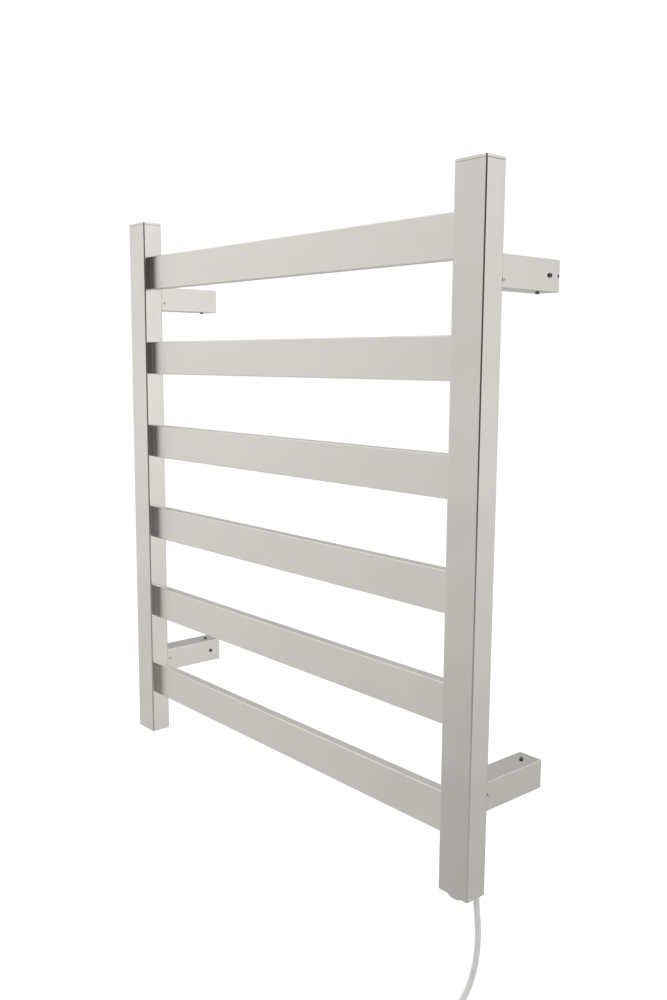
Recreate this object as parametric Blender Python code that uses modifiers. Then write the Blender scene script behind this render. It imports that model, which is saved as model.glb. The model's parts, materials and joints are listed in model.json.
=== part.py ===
"""Wall-mounted electric towel warmer: two rectangular posts, six flat bars, four standoff arms, a push
button under the right post and a mains lead.

X runs along the rack's width, Y runs back to the wall and Z is up. The origin is the middle of the wall
plane, so the whole rack lies at y < 0. Sizes are in metres.
"""

import math

import bmesh
import bpy
from mathutils import Matrix, Vector

# Driving dimensions
RACK_WIDTH = 0.714
RACK_HEIGHT = 0.800
POST_WIDTH = 0.044
POST_DEPTH = 0.030
POST_WALL = 0.0012
POST_RADIUS = 0.002
WALL_TO_POST = 0.104  # free space behind the posts
BAR_COUNT = 6
BAR_HEIGHT = 0.049
BAR_DEPTH = 0.014
BAR_WALL = 0.001
BAR_RADIUS = 0.0015
BAR_SETBACK = 0.011  # from the posts' front faces to the bars'
BAR_PITCH = 0.128
FIRST_BAR_TOP = 0.350
ARM_WIDTH = 0.032
ARM_HEIGHT = 0.035
ARM_WALL = 0.0012
ARM_RADIUS = 0.0015
ARM_LEVEL = 0.288  # height of the arms' middles above and below the rack's middle
GAP = 0.0003  # left between pieces that touch

# Places that follow from them
POST_X = (RACK_WIDTH - POST_WIDTH) / 2
POST_BACK = -WALL_TO_POST
POST_FRONT = POST_BACK - POST_DEPTH
POST_Y = (POST_BACK + POST_FRONT) / 2
TOP = RACK_HEIGHT / 2
BOTTOM = -TOP
INNER_FACE = POST_X - POST_WIDTH / 2
BAR_Y = POST_FRONT + BAR_SETBACK + BAR_DEPTH / 2
BAR_LEVELS = [FIRST_BAR_TOP - BAR_HEIGHT / 2 - i * BAR_PITCH for i in range(BAR_COUNT)]

# End caps
CAP_THICKNESS = 0.003
CAP_SKIRT = 0.012
CAP_SKIRT_WALL = 0.002
CAP_FIT = 0.0003  # round a cap inside its post

# Wall fixing
FIT_IN_ARM = 0.0004  # round what sits inside an arm
STUB_LENGTH = 0.018
BRACKET_DEPTH = 0.025
BRACKET_BASE = 0.003
BRACKET_WALL = 0.0026
WALL_SCREW_HOLE = 0.0026
ARM_END = -0.0004
SET_SCREW_RADIUS = 0.0025
SET_SCREW_LENGTH = 0.005
SET_SCREW_PROUD = 0.002
SET_SCREW_CHAMFER = 0.0004
SET_SCREW_SOCKET = 0.00145
SET_SCREW_Y = -0.018
ARM_SCREW_RADIUS = 0.0015
ARM_SCREW_HEAD = 0.0023
ARM_SCREW_HEAD_HEIGHT = 0.0007
ARM_SCREW_LENGTH = 0.007
ARM_SCREW_Y = POST_BACK + 0.008
# How far each arm's screw stands above the arm's middle
ARM_SCREW_RISE = {"upper_left": -0.006, "upper_right": -0.009, "lower_left": 0.0015, "lower_right": 0.0015}
END_HOLE_RADIUS = 0.0017
END_HOLE_DEPTH = 0.008
END_HOLE_Y = -0.0026

# Push button under the right post
SWITCH_X = 0.3325
SWITCH_Y = -0.1195
FLANGE_RADIUS = 0.013
FLANGE_HEIGHT = 0.0044
FLANGE_EDGE = 0.0008
BARREL_RADIUS = 0.0112
BUTTON_RADIUS = 0.0096
BUTTON_PROUD = 0.0025
BUTTON_TRAVEL = 0.0025
BUTTON_HEIGHT = 0.0067
BUTTON_EDGE = 0.0009
BUTTON_DISH = 0.0005
PLUNGER_RADIUS = 0.0026
PLUNGER_TIP = BOTTOM + 0.012
HOUSING_FLOOR = BOTTOM + 0.008
HOUSING_TOP = BOTTOM + 0.011
SWITCH_NUT_RADIUS = 0.0129
SWITCH_NUT_HEIGHT = 0.003
SPRING_RADIUS = 0.0055
SPRING_WIRE_RADIUS = 0.0003
SPRING_TURNS = 4
CONTACTS_TOP = BOTTOM + 0.028
CONTACTS_RADIUS = 0.0105
CONTACTS_OVERTRAVEL = 0.0015
BLADE_REACH = 0.005
BLADE_SECTION = (0.0008, 0.0048)
BLADE_TOP = CONTACTS_TOP + 0.007

# Mains lead
CORD_RADIUS = 0.0035
EXIT_X = 0.3504
EXIT_Y = -0.1106
RELIEF_RADIUS = 0.0039
RELIEF_FLANGE = 0.0047
RELIEF_FLANGE_HEIGHT = 0.0015
RELIEF_EDGE = 0.0004
RELIEF_TOP = BOTTOM + 0.022
EXIT_Z = BOTTOM - GAP - RELIEF_FLANGE_HEIGHT
HANK_TOP = -0.573
HANK_HEIGHT = 0.126
HANK_LEFT_RUN = 0.311
HANK_FOLD = 0.021  # radius of its folds, at the cord's middle
HANK_FRONT_RUN = -0.112
HANK_RUNS = 5  # side by side, a cord's diameter apart
PLUG_TOP = -0.693
PLUG_RELIEF_LENGTH = 0.024
PLUG_LENGTH = 0.032
PLUG_SIDE = 0.026
PLUG_CORNER = 0.007
PLUG_RELIEF_TOP_RADIUS = 0.0046
PLUG_RELIEF_LOW_RADIUS = 0.0065
BLADE_SPACING = 0.0127
BLADE_SIZE = (0.0015, 0.00635, 0.0175)
GROUND_PIN_RADIUS = 0.0024
GROUND_PIN_LENGTH = 0.0206
GROUND_PIN_OFFSET = 0.0119
BLADES_BEHIND_MIDDLE = 0.005
TIE_THICKNESS = 0.0012
TIE_HEIGHT = 0.012

# Heater and wiring inside the posts and bars
HEATER_RADIUS = 0.0017
HEATER_BEND = 0.010
RISER_X = 0.344
RETURN_X = 0.326
LEFT_TURN_X = -0.328
LIMITER_BOTTOM = -0.262
LIMITER_TOP = -0.240
LIMITER_SECTION = (0.012, 0.010)
TERMINAL_TOP = -0.334
TERMINAL_BOTTOM = -0.352
TERMINAL_X = 0.334
TERMINAL_WIDTH = 0.030
TERMINAL_DEPTH = 0.014
LEAD_RADIUS = 0.0009
EARTH_X = 0.348
EARTH_Z = -0.300
EARTH_STUD_RADIUS = 0.002
EARTH_STUD_LENGTH = 0.0075
EARTH_LUG_RADIUS = 0.004
EARTH_LUG_THICKNESS = 0.0008
EARTH_LUG_TAIL = (0.0035, EARTH_LUG_THICKNESS, 0.009)
EARTH_NUT_RADIUS = 0.0037
EARTH_NUT_DEPTH = 0.003


def clear_scene():
    for obj in list(bpy.data.objects):
        bpy.data.objects.remove(obj, do_unlink=True)


def new_collection(name):
    collection = bpy.data.collections.new(name)
    bpy.context.scene.collection.children.link(collection)
    return collection


def new_material(name, color, metallic, roughness):
    material = bpy.data.materials.new(name)
    material.use_nodes = True
    shader = material.node_tree.nodes["Principled BSDF"]
    shader.inputs["Base Color"].default_value = (*color, 1.0)
    shader.inputs["Metallic"].default_value = metallic
    shader.inputs["Roughness"].default_value = roughness
    return material


clear_scene()
RACK = new_collection("towel_warmer")
CUTTERS = new_collection("cutters")
STEEL = new_material("polished_steel", (0.80, 0.79, 0.77), 1.0, 0.12)
ZINC = new_material("zinc_plated", (0.62, 0.62, 0.63), 1.0, 0.35)
SCREW_STEEL = new_material("screw_steel", (0.25, 0.25, 0.26), 1.0, 0.3)
BRASS = new_material("brass", (0.72, 0.56, 0.28), 1.0, 0.3)
CORD_GREY = new_material("cord_grey", (0.62, 0.62, 0.60), 0.0, 0.45)
RELIEF_GREY = new_material("relief_grey", (0.60, 0.60, 0.58), 0.0, 0.5)
BLACK = new_material("black_plastic", (0.03, 0.03, 0.03), 0.0, 0.5)
CERAMIC = new_material("ceramic", (0.85, 0.84, 0.80), 0.0, 0.6)
SILICONE = new_material("silicone", (0.55, 0.12, 0.08), 0.0, 0.6)
WIRE_BROWN = new_material("wire_brown", (0.20, 0.09, 0.04), 0.0, 0.5)
WIRE_BLUE = new_material("wire_blue", (0.05, 0.13, 0.42), 0.0, 0.5)
WIRE_GREEN = new_material("wire_green", (0.10, 0.38, 0.10), 0.0, 0.5)

# Turns a shape drawn in X and Y, and raised along Z, to be raised along another axis
RAISED_ALONG = {
    "X": Matrix(((0, 0, 1), (1, 0, 0), (0, 1, 0))),
    "Y": Matrix(((0, 1, 0), (0, 0, 1), (1, 0, 0))),
    "Z": Matrix.Identity(3),
}


def baked(obj):
    """The object's evaluated mesh, with the caps of a curve welded on. The object goes."""
    graph = bpy.context.evaluated_depsgraph_get()
    mesh = bpy.data.meshes.new_from_object(obj.evaluated_get(graph))
    bm = bmesh.new()
    bm.from_mesh(mesh)
    bmesh.ops.remove_doubles(bm, verts=bm.verts, dist=1e-6)
    bmesh.ops.recalc_face_normals(bm, faces=bm.faces)
    bm.to_mesh(mesh)
    bm.free()
    bpy.data.objects.remove(obj, do_unlink=True)
    return mesh


def place(name, mesh, material, location=(0, 0, 0), rotation=None):
    """Puts a mesh in the rack as a named piece."""
    mesh.name = name
    mesh.materials.clear()
    mesh.materials.append(material)
    piece = bpy.data.objects.new(name, mesh)
    piece.location = location
    if rotation is not None:
        piece.rotation_euler = rotation.to_euler()
    RACK.objects.link(piece)
    return piece


def add_bevel(piece, width, segments=2):
    bevel = piece.modifiers.new("Bevel", "BEVEL")
    bevel.width = width
    bevel.segments = segments
    bevel.limit_method = "ANGLE"
    bevel.angle_limit = math.radians(40)
    return bevel


def combine(piece, other, operation):
    """Cuts another object from a piece or joins it on, and keeps the other one as a hidden helper."""
    boolean = piece.modifiers.new(operation.title(), "BOOLEAN")
    boolean.operation = operation
    boolean.object = other
    for collection in list(other.users_collection):
        collection.objects.unlink(other)
    CUTTERS.objects.link(other)
    other.hide_render = True
    other.display_type = "WIRE"


def cut(piece, *others):
    for other in others:
        combine(piece, other, "DIFFERENCE")


def box_mesh(size):
    mesh = bpy.data.meshes.new("box")
    bm = bmesh.new()
    bmesh.ops.create_cube(bm, size=1.0, matrix=Matrix.Diagonal((*size, 1.0)))
    bm.to_mesh(mesh)
    bm.free()
    return mesh


def box(name, size, centre, material=STEEL):
    return place(name, box_mesh(size), material, centre)


def rod(name, radius, length, centre, axis="Z", material=STEEL, sides=20):
    """A plain cylinder, centred, along X, Y or Z."""
    mesh = bpy.data.meshes.new(name)
    bm = bmesh.new()
    bmesh.ops.create_cone(
        bm, cap_ends=True, segments=sides, radius1=radius, radius2=radius, depth=length
    )
    bm.to_mesh(mesh)
    bm.free()
    return place(name, mesh, material, centre, RAISED_ALONG[axis])


def rounded(width, height, radius, steps=3):
    """The outline of a rectangle with round corners, about the origin."""
    points = []
    for quarter, (side, level) in enumerate(((1, 1), (-1, 1), (-1, -1), (1, -1))):
        corner = Vector((side * (width / 2 - radius), level * (height / 2 - radius)))
        for step in range(steps + 1):
            angle = math.pi / 2 * (quarter + step / steps)
            points.append(corner + radius * Vector((math.cos(angle), math.sin(angle))))
    return points


def circle(radius, middle=(0, 0), steps=24):
    turn = [2 * math.pi * i / steps for i in range(steps)]
    return [Vector(middle) + radius * Vector((math.cos(a), math.sin(a))) for a in turn]


def prism_mesh(outlines, length):
    """A closed outline, with any holes after it, raised by a length and centred on it."""
    curve = bpy.data.curves.new("outline", "CURVE")
    curve.dimensions = "2D"
    curve.fill_mode = "BOTH"
    curve.extrude = length / 2
    for points in outlines:
        spline = curve.splines.new("POLY")
        spline.points.add(len(points) - 1)
        for point, place_at in zip(spline.points, points):
            point.co = (*place_at, 0, 1)
        spline.use_cyclic_u = True
    drawn = bpy.data.objects.new("outline", curve)
    RACK.objects.link(drawn)
    return baked(drawn)


def prism(name, outlines, length, centre, axis="Z", material=STEEL):
    return place(name, prism_mesh(outlines, length), material, centre, RAISED_ALONG[axis])


def turned(name, profile, location, material, axis="Z", steps=24):
    """A closed turned shape. The profile holds (radius, height) pairs, from the top down its outer side."""
    mesh = bpy.data.meshes.new(name)
    closed = profile[0][0] > 0
    edges = [(i, i + 1) for i in range(len(profile) - 1)] + [(len(profile) - 1, 0)] * closed
    mesh.from_pydata([(radius, 0, height) for radius, height in profile], edges, [])
    drawn = bpy.data.objects.new(name, mesh)
    RACK.objects.link(drawn)
    screw = drawn.modifiers.new("Screw", "SCREW")
    screw.steps = screw.render_steps = steps
    screw.use_merge_vertices = True
    screw.merge_threshold = 1e-6
    turned_mesh = baked(drawn)
    piece = place(name, turned_mesh, material, location, RAISED_ALONG[axis])
    turned_mesh.shade_smooth()
    turned_mesh.set_sharp_from_angle(angle=math.radians(40))
    return piece


def smooth_route(points, spacing):
    """Points a spacing apart along a smooth curve through the route's own points."""
    points = [Vector(point) for point in points]
    ends = [2 * points[0] - points[1], *points, 2 * points[-1] - points[-2]]
    route = [points[0]]
    for before, start, end, after in zip(ends, ends[1:], ends[2:], ends[3:]):
        count = max(1, round((end - start).length / spacing))
        for step in range(1, count + 1):
            t = step / count
            route.append(
                0.5
                * (
                    2 * start
                    + (end - before) * t
                    + (2 * before - 5 * start + 4 * end - after) * t**2
                    + (3 * start - before - 3 * end + after) * t**3
                )
            )
    return route


def wire(name, route, radius, material, resolution=2):
    """A round wire, cord or cable along a route."""
    curve = bpy.data.curves.new(name, "CURVE")
    curve.dimensions = "3D"
    curve.bevel_depth = radius
    curve.bevel_resolution = resolution
    curve.use_fill_caps = True
    spline = curve.splines.new("POLY")
    spline.points.add(len(route) - 1)
    for point, place_at in zip(spline.points, route):
        point.co = (*place_at, 1)
    drawn = bpy.data.objects.new(name, curve)
    RACK.objects.link(drawn)
    mesh = baked(drawn)
    mesh.shade_smooth()
    mesh.set_sharp_from_angle(angle=math.radians(50))
    return place(name, mesh, material)


def tube_outlines(width, height, wall, radius):
    """The outside and the inside of a rectangular tube."""
    inner_radius = max(radius - wall, 0.0005)
    return [rounded(width, height, radius), rounded(width - 2 * wall, height - 2 * wall, inner_radius)]


def post(name, side):
    """A rectangular tube with a slot behind each bar's end, where the heater passes through."""
    outlines = tube_outlines(POST_WIDTH, POST_DEPTH, POST_WALL, POST_RADIUS)
    length = RACK_HEIGHT - CAP_THICKNESS - GAP
    piece = prism(name, outlines, length, (side * POST_X, POST_Y, BOTTOM + length / 2))
    slot_size = (4 * POST_WALL, BAR_DEPTH - 2 * BAR_WALL - 0.002, BAR_HEIGHT - 2 * BAR_WALL - 0.006)
    for level in BAR_LEVELS:
        cut(piece, box("slot", slot_size, (side * INNER_FACE, BAR_Y, level)))


def bar(name, level):
    outlines = tube_outlines(BAR_DEPTH, BAR_HEIGHT, BAR_WALL, BAR_RADIUS)
    prism(name, outlines, 2 * (INNER_FACE - GAP), (0, BAR_Y, level), "X")


def inside_post():
    """The size of what fits inside a post, with clearance."""
    around = 2 * (POST_WALL + CAP_FIT)
    return POST_WIDTH - around, POST_DEPTH - around


def top_cap(name, side):
    """A thin lid on the post, with a hollow skirt pressed into it."""
    x = side * POST_X
    lid = prism(
        name,
        [rounded(POST_WIDTH, POST_DEPTH, POST_RADIUS)],
        CAP_THICKNESS,
        (x, POST_Y, TOP - CAP_THICKNESS / 2),
    )
    width, depth = inside_post()
    skirt = prism(
        "skirt",
        tube_outlines(width, depth, CAP_SKIRT_WALL, 0.0008),
        CAP_SKIRT,
        (x, POST_Y, TOP - CAP_THICKNESS - CAP_SKIRT / 2 + 0.0005),
    )
    combine(lid, skirt, "UNION")


def bottom_cap(name, side, holes=()):
    """A plate set flush inside the post's lower end. Each hole is (radius, x, y)."""
    x = side * POST_X
    outlines = [rounded(*inside_post(), 0.0008)]
    outlines += [circle(radius, (hole_x - x, hole_y - POST_Y)) for radius, hole_x, hole_y in holes]
    prism(name, outlines, CAP_THICKNESS, (x, POST_Y, BOTTOM + CAP_THICKNESS / 2))


def inside_arm():
    around = 2 * (ARM_WALL + FIT_IN_ARM)
    return ARM_WIDTH - around, ARM_HEIGHT - around


def set_screw_mesh():
    """A short headless screw along Z, its hexagon socket at the top."""
    chamfered = SET_SCREW_RADIUS - SET_SCREW_CHAMFER
    body = turned(
        "set_screw",
        [
            (0, 0),
            (chamfered, 0),
            (SET_SCREW_RADIUS, -SET_SCREW_CHAMFER),
            (SET_SCREW_RADIUS, SET_SCREW_CHAMFER - SET_SCREW_LENGTH),
            (chamfered, -SET_SCREW_LENGTH),
            (0, -SET_SCREW_LENGTH),
        ],
        (0, 0, 0),
        SCREW_STEEL,
        steps=16,
    )
    socket = rod("socket", SET_SCREW_SOCKET, SET_SCREW_LENGTH, (0, 0, 0), sides=6)
    cut(body, socket)
    bpy.context.view_layer.update()
    mesh = baked(body)
    bpy.data.objects.remove(socket, do_unlink=True)
    return mesh


def arm(name, side, upper, screw_mesh):
    """One standoff: a stub on the post, the arm over it, the wall bracket in its far end, and the screws."""
    x = side * POST_X
    level = ARM_LEVEL if upper else -ARM_LEVEL
    inwards = -1 if upper else 1  # from the arm towards the rack's middle, along Z
    set_side = side if upper else -side
    start = POST_BACK + GAP
    length = ARM_END - start
    outlines = tube_outlines(ARM_HEIGHT, ARM_WIDTH, ARM_WALL, ARM_RADIUS)
    middle = (x, start + length / 2, level)
    tube = prism(f"{name}_arm", outlines, length, middle, "Y")

    width, height = inside_arm()
    stub_middle = (x, start + STUB_LENGTH / 2, level)
    stub = box(f"{name}_post_stub", (width, STUB_LENGTH, height), stub_middle, ZINC)

    bracket_middle = (x, -BRACKET_DEPTH / 2, level)
    bracket = box(f"{name}_wall_bracket", (width, BRACKET_DEPTH, height), bracket_middle, ZINC)
    hollow = (width - 2 * BRACKET_WALL, BRACKET_DEPTH, height - 2 * BRACKET_WALL)
    cut(bracket, box("hollow", hollow, (x, -BRACKET_DEPTH / 2 - BRACKET_BASE, level)))
    cut(bracket, rod("wall_screw_hole", WALL_SCREW_HOLE, 0.02, (x, 0, level), "Y"))

    hole = SET_SCREW_RADIUS + GAP
    face_z = level + inwards * ARM_HEIGHT / 2
    face_x = x + set_side * ARM_WIDTH / 2
    through = 2 * (ARM_WALL + FIT_IN_ARM + BRACKET_WALL) + 0.004
    for target in (tube, bracket):
        cut(target, rod("set_screw_hole", hole, through, (x, SET_SCREW_Y, face_z), "Z", sides=16))
        cut(target, rod("set_screw_hole", hole, through, (face_x, SET_SCREW_Y, level), "X", sides=16))
    if upper:
        end_hole = (x + side * ARM_WIDTH / 2, END_HOLE_Y, level)
        for target in (tube, bracket):
            cut(target, rod("end_hole", END_HOLE_RADIUS, 2 * END_HOLE_DEPTH, end_hole, "X", sides=16))

    place(
        f"{name}_set_screw_{'under' if upper else 'top'}",
        screw_mesh.copy(),
        SCREW_STEEL,
        (x, SET_SCREW_Y, face_z + inwards * SET_SCREW_PROUD),
        Matrix.Rotation(math.pi, 3, "X") if upper else Matrix.Identity(3),
    )
    to_side = Matrix.Rotation(set_side * math.pi / 2, 3, "Y")
    side_place = (face_x + set_side * SET_SCREW_PROUD, SET_SCREW_Y, level)
    place(f"{name}_set_screw_side", screw_mesh.copy(), SCREW_STEEL, side_place, to_side)

    screw_level = level + ARM_SCREW_RISE[name]
    outer_face = x + ARM_WIDTH / 2
    bore = ARM_SCREW_RADIUS + GAP
    deep = 2 * (ARM_SCREW_LENGTH + 0.002)
    for target in (tube, stub):
        cut(target, rod("arm_screw_hole", bore, deep, (outer_face, ARM_SCREW_Y, screw_level), "X", sides=16))
    arm_screw(f"{name}_arm_screw", (outer_face + GAP, ARM_SCREW_Y, screw_level))


def arm_screw(name, face):
    """A small low-headed screw through the arm's side into the stub, its head towards +X."""
    dome = ARM_SCREW_HEAD_HEIGHT
    turned(
        name,
        [
            (0, dome),
            (ARM_SCREW_HEAD * 0.7, dome * 0.8),
            (ARM_SCREW_HEAD, dome * 0.2),
            (ARM_SCREW_HEAD, 0),
            (ARM_SCREW_RADIUS, 0),
            (ARM_SCREW_RADIUS, -ARM_SCREW_LENGTH),
            (0, -ARM_SCREW_LENGTH),
        ],
        face,
        STEEL,
        "X",
        steps=16,
    )


def switch():
    """The push button, its flanged housing in the bottom cap, its nut, spring and contact block."""
    centre = (SWITCH_X, SWITCH_Y, 0)
    face = BOTTOM - GAP - FLANGE_HEIGHT
    bore = BUTTON_RADIUS + GAP
    guide = PLUNGER_RADIUS + GAP
    turned(
        "switch_housing",
        [
            (guide, HOUSING_TOP),
            (BARREL_RADIUS, HOUSING_TOP),
            (BARREL_RADIUS, BOTTOM - GAP),
            (FLANGE_RADIUS, BOTTOM - GAP),
            (FLANGE_RADIUS, face + FLANGE_EDGE),
            (FLANGE_RADIUS - FLANGE_EDGE, face),
            (bore, face),
            (bore, HOUSING_FLOOR),
            (guide, HOUSING_FLOOR),
        ],
        centre,
        STEEL,
        steps=32,
    )
    low = face - BUTTON_PROUD
    shoulder = low + BUTTON_HEIGHT
    turned(
        "power_button",
        [
            (0, PLUNGER_TIP),
            (PLUNGER_RADIUS, PLUNGER_TIP),
            (PLUNGER_RADIUS, shoulder),
            (BUTTON_RADIUS, shoulder),
            (BUTTON_RADIUS, low + BUTTON_EDGE),
            (BUTTON_RADIUS - BUTTON_EDGE * 0.3, low + BUTTON_EDGE * 0.3),
            (BUTTON_RADIUS - BUTTON_EDGE, low),
            (BUTTON_RADIUS * 0.4, low + BUTTON_DISH * 0.8),
            (0, low + BUTTON_DISH),
        ],
        centre,
        STEEL,
        steps=32,
    )
    nut_bore = BARREL_RADIUS + GAP
    nut_low = BOTTOM + CAP_THICKNESS + GAP
    nut_high = nut_low + SWITCH_NUT_HEIGHT
    nut = [
        (nut_bore, nut_high),
        (SWITCH_NUT_RADIUS, nut_high),
        (SWITCH_NUT_RADIUS, nut_low),
        (nut_bore, nut_low),
    ]
    turned("switch_nut", nut, centre, BLACK)
    spring(shoulder)

    contacts_low = HOUSING_TOP + GAP
    pocket = PLUNGER_TIP + BUTTON_TRAVEL + CONTACTS_OVERTRAVEL
    contacts = turned(
        "switch_contacts",
        [
            (0, CONTACTS_TOP),
            (CONTACTS_RADIUS, CONTACTS_TOP),
            (CONTACTS_RADIUS, contacts_low),
            (guide, contacts_low),
            (guide, pocket),
            (0, pocket),
        ],
        centre,
        BLACK,
    )
    blade_low = CONTACTS_TOP - 0.001
    blade_height = BLADE_TOP - blade_low
    for side in (-1, 1):
        blade_middle = (SWITCH_X + side * BLADE_REACH, SWITCH_Y, blade_low + blade_height / 2)
        combine(contacts, box("blade", (*BLADE_SECTION, blade_height), blade_middle), "UNION")


def spring(shoulder):
    """The button's return spring, between the button's shoulder and the housing's floor."""
    low = shoulder + GAP + SPRING_WIRE_RADIUS
    high = HOUSING_FLOOR - GAP - SPRING_WIRE_RADIUS
    steps_per_turn = 14
    count = SPRING_TURNS * steps_per_turn
    route = []
    for step in range(count + 1):
        angle = 2 * math.pi * step / steps_per_turn
        x = SWITCH_X + SPRING_RADIUS * math.cos(angle)
        y = SWITCH_Y + SPRING_RADIUS * math.sin(angle)
        route.append((x, y, low + (high - low) * step / count))
    wire("switch_spring", route, SPRING_WIRE_RADIUS, ZINC, resolution=1)


def strain_relief():
    """A bush in the bottom cap that holds the mains lead, tapering off above it."""
    turned(
        "cord_strain_relief",
        [
            (0, RELIEF_TOP),
            (RELIEF_RADIUS * 0.8, RELIEF_TOP),
            (RELIEF_RADIUS, (BOTTOM + RELIEF_TOP) / 2),
            (RELIEF_RADIUS, BOTTOM - GAP),
            (RELIEF_FLANGE, BOTTOM - GAP),
            (RELIEF_FLANGE, EXIT_Z + RELIEF_EDGE),
            (RELIEF_FLANGE - RELIEF_EDGE, EXIT_Z),
            (0, EXIT_Z),
        ],
        (EXIT_X, EXIT_Y, 0),
        RELIEF_GREY,
    )


def cord():
    """The stretch of lead from the post down to the hank, and the hank as one solid."""
    route = [
        (EXIT_X, EXIT_Y, EXIT_Z - GAP),
        (0.3508, -0.1103, -0.412),
        (0.3520, -0.1094, -0.430),
        (0.3528, -0.1088, -0.449),
        (0.3521, -0.1090, -0.470),
        (0.3494, -0.1098, -0.492),
        (0.3440, -0.1108, -0.514),
        (0.3356, -0.1116, -0.536),
        (0.3255, -0.1120, -0.555),
        (0.3185, -0.1120, -0.568),
        (0.3150, -0.1120, -0.5757),
    ]
    wire("mains_cord", smooth_route(route, 0.010), CORD_RADIUS, CORD_GREY)

    half_width = HANK_FOLD + CORD_RADIUS
    outline = stadium(half_width, HANK_HEIGHT)
    depth = HANK_RUNS * 2 * CORD_RADIUS
    centre = (
        HANK_LEFT_RUN + HANK_FOLD,
        HANK_FRONT_RUN - CORD_RADIUS + depth / 2,
        HANK_TOP - HANK_HEIGHT / 2,
    )
    prism("cord_hank", [outline], depth, centre, "Y", CORD_GREY)

    inner_width, inner_depth = 2 * (half_width + GAP), depth + 2 * GAP
    tie = tube_outlines(
        inner_width + 2 * TIE_THICKNESS, inner_depth + 2 * TIE_THICKNESS, TIE_THICKNESS, 0.002
    )
    prism("cord_tie", tie, TIE_HEIGHT, centre, "Z", RELIEF_GREY)


def stadium(half_width, height, steps=12):
    """A long outline with round ends, drawn with its length along the first axis."""
    points = []
    reach = height / 2 - half_width
    for end in (1, -1):
        for step in range(steps + 1):
            angle = math.pi * (step / steps - 0.5)
            points.append(end * Vector((reach + half_width * math.cos(angle), half_width * math.sin(angle))))
    return points


def plug():
    """A moulded three-pin plug that hangs under the hank, its pins down."""
    x, y = HANK_LEFT_RUN, HANK_FRONT_RUN + (HANK_RUNS - 1) * 2 * CORD_RADIUS
    body_top = PLUG_TOP - PLUG_RELIEF_LENGTH
    face = body_top - PLUG_LENGTH
    outline = rounded(PLUG_SIDE, PLUG_SIDE, PLUG_CORNER, 4)
    body = prism("plug_body", [outline], PLUG_LENGTH, (x, y, face + PLUG_LENGTH / 2), "Z", CORD_GREY)
    relief_low = body_top - 0.002
    relief = turned(
        "relief",
        [
            (0, PLUG_TOP),
            (PLUG_RELIEF_TOP_RADIUS, PLUG_TOP),
            (PLUG_RELIEF_LOW_RADIUS, body_top),
            (PLUG_RELIEF_LOW_RADIUS, relief_low),
            (0, relief_low),
        ],
        (x, y, 0),
        CORD_GREY,
    )
    combine(body, relief, "UNION")
    add_bevel(body, 0.0015)

    blades_y = y + BLADES_BEHIND_MIDDLE
    for name, side in (("plug_blade_line", 1), ("plug_blade_neutral", -1)):
        blade_middle = (x + side * BLADE_SPACING / 2, blades_y, face - GAP - BLADE_SIZE[2] / 2)
        add_bevel(box(name, BLADE_SIZE, blade_middle, BRASS), 0.0003, 1)
    top = face - GAP
    tip = top - GROUND_PIN_LENGTH
    pin = [
        (0, top),
        (GROUND_PIN_RADIUS, top),
        (GROUND_PIN_RADIUS, tip + 0.002),
        (GROUND_PIN_RADIUS * 0.7, tip + 0.0006),
        (0, tip),
    ]
    turned("plug_ground_pin", pin, (x, blades_y - GROUND_PIN_OFFSET, 0), BRASS, steps=16)


def bent(corners, radius, steps=4):
    """A route of straight runs, each corner rounded by an arc."""
    corners = [Vector(corner) for corner in corners]
    route = [corners[0]]
    for before, corner, after in zip(corners, corners[1:], corners[2:]):
        back = (before - corner).normalized()
        on = (after - corner).normalized()
        centre = corner + radius * (back + on)
        for step in range(steps + 1):
            angle = math.pi / 2 * step / steps
            route.append(centre - radius * (math.sin(angle) * back + math.cos(angle) * on))
    return [*route, corners[-1]]


def heater():
    """One heating cable up the right post and to and fro through all the bars, and its limiter."""
    corners = [(RISER_X, BAR_Y, LIMITER_TOP + GAP), (RISER_X, BAR_Y, BAR_LEVELS[0])]
    for i, level in enumerate(BAR_LEVELS):
        turn_x = LEFT_TURN_X if i % 2 == 0 else RETURN_X
        if i:
            corners.append((corners[-1][0], BAR_Y, level))
        corners.append((turn_x, BAR_Y, level))
    corners.append((RETURN_X, BAR_Y, TERMINAL_TOP + GAP))
    wire("heating_cable", bent(corners, HEATER_BEND), HEATER_RADIUS, SILICONE)

    limiter_height = LIMITER_TOP - LIMITER_BOTTOM
    limiter_middle = (RISER_X, BAR_Y, LIMITER_BOTTOM + limiter_height / 2)
    limiter_size = (*LIMITER_SECTION, limiter_height)
    add_bevel(box("thermal_cutout", limiter_size, limiter_middle, CERAMIC), 0.001)
    terminal_height = TERMINAL_TOP - TERMINAL_BOTTOM
    terminal_middle = (TERMINAL_X, BAR_Y - 0.003, TERMINAL_BOTTOM + terminal_height / 2)
    block_size = (TERMINAL_WIDTH, TERMINAL_DEPTH, terminal_height)
    add_bevel(box("terminal_block", block_size, terminal_middle, CERAMIC), 0.001)


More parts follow.
